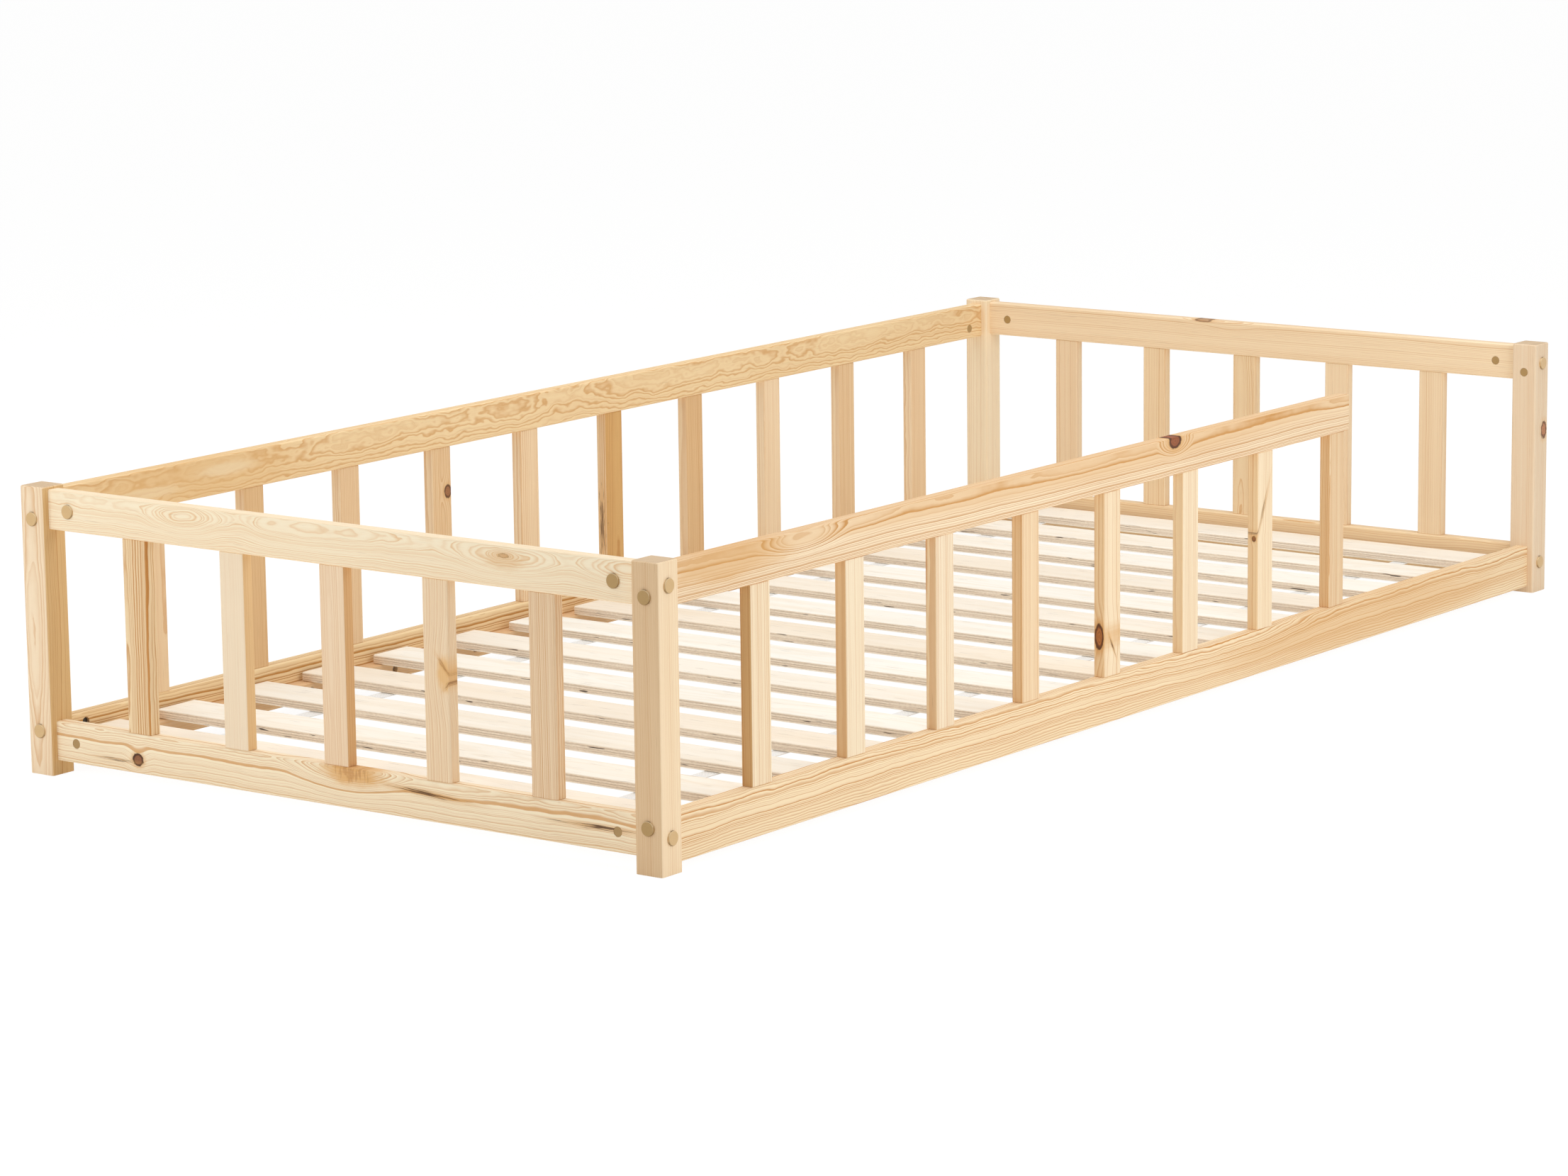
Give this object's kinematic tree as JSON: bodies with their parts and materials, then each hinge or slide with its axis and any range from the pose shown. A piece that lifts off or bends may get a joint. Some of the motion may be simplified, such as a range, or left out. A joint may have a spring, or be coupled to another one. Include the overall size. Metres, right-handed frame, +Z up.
{
  "type": "toddler floor bed",
  "caption": "Low floor bed frame in planed pine with baluster side rails, a wide entry gap beside one post and a loose slatted base on ledgers.",
  "frame": {"origin": "middle of the bed's footprint, on the floor", "axes": "+X along the bed's length towards the end beside the entry gap, -Y towards the front with the entry gap, +Z up"},
  "size_m": [2.0848, 0.9848, 0.358],
  "materials": {
    "post_pine": "planed pine with softly rounded edges, thin clear oil, end grain on top",
    "rail_pine": "planed pine, grain along the rail, thin clear oil",
    "baluster_pine": "planed pine, grain upright, thin clear oil",
    "ledger_pine": "sawn and planed pine strip, bare",
    "slat_plywood": "pale sanded plywood with thin dark glue lines along its edges",
    "webbing": "flat white woven band",
    "staple_steel": "bright drawn wire",
    "screw_zinc": "zinc-plated",
    "bolt_zinc": "zinc-plated",
    "dowel_beech": "fluted beech look, plain",
    "cap_tan": "satin tan, matched to the wood",
    "plug_tan": "matt tan, matched to the wood"
  },
  "bodies": {
    "bed_frame": {"post_front_left": "post_pine", "post_front_right": "post_pine", "post_back_left": "post_pine", "post_back_right": "post_pine", "front_top_rail": "rail_pine", "back_top_rail": "rail_pine", "front_bottom_rail": "rail_pine", "back_bottom_rail": "rail_pine", "left_top_rail": "rail_pine", "left_bottom_rail": "rail_pine", "right_top_rail": "rail_pine", "right_bottom_rail": "rail_pine", "front_baluster_1": "baluster_pine", "front_baluster_2": "baluster_pine", "front_baluster_3": "baluster_pine", "front_baluster_4": "baluster_pine", "front_baluster_5": "baluster_pine", "front_baluster_6": "baluster_pine", "front_baluster_7": "baluster_pine", "front_baluster_8": "baluster_pine", "back_balusters": "baluster_pine", "left_baluster_1": "baluster_pine", "left_baluster_2": "baluster_pine", "left_baluster_3": "baluster_pine", "left_baluster_4": "baluster_pine", "left_baluster_5": "baluster_pine", "right_baluster_1": "baluster_pine", "right_baluster_2": "baluster_pine", "right_baluster_3": "baluster_pine", "right_baluster_4": "baluster_pine", "right_baluster_5": "baluster_pine", "front_ledger": "ledger_pine", "back_ledger": "ledger_pine", "ledger_screws": "screw_zinc", "frame_bolts": "bolt_zinc", "barrel_nuts": "bolt_zinc", "rail_dowels": "dowel_beech", "baluster_pins": "dowel_beech", "cover_caps": "cap_tan", "flush_plugs": "plug_tan"},
    "slatted_base": {"slat_01": "slat_plywood", "slat_02": "slat_plywood", "slat_03": "slat_plywood", "slat_04": "slat_plywood", "slat_05": "slat_plywood", "slat_06": "slat_plywood", "slat_07": "slat_plywood", "slat_08": "slat_plywood", "slat_09": "slat_plywood", "slat_10": "slat_plywood", "slat_11": "slat_plywood", "slat_12": "slat_plywood", "slat_13": "slat_plywood", "slat_14": "slat_plywood", "slat_15": "slat_plywood", "front_webbing_band": "webbing", "back_webbing_band": "webbing", "webbing_staples": "staple_steel"}
  },
  "joints": [
    {"name": "base_lift", "type": "slide", "parent": "bed_frame", "child": "slatted_base", "axis": [0, 0, 1], "range_m": [0, 0.34]}
  ]
}
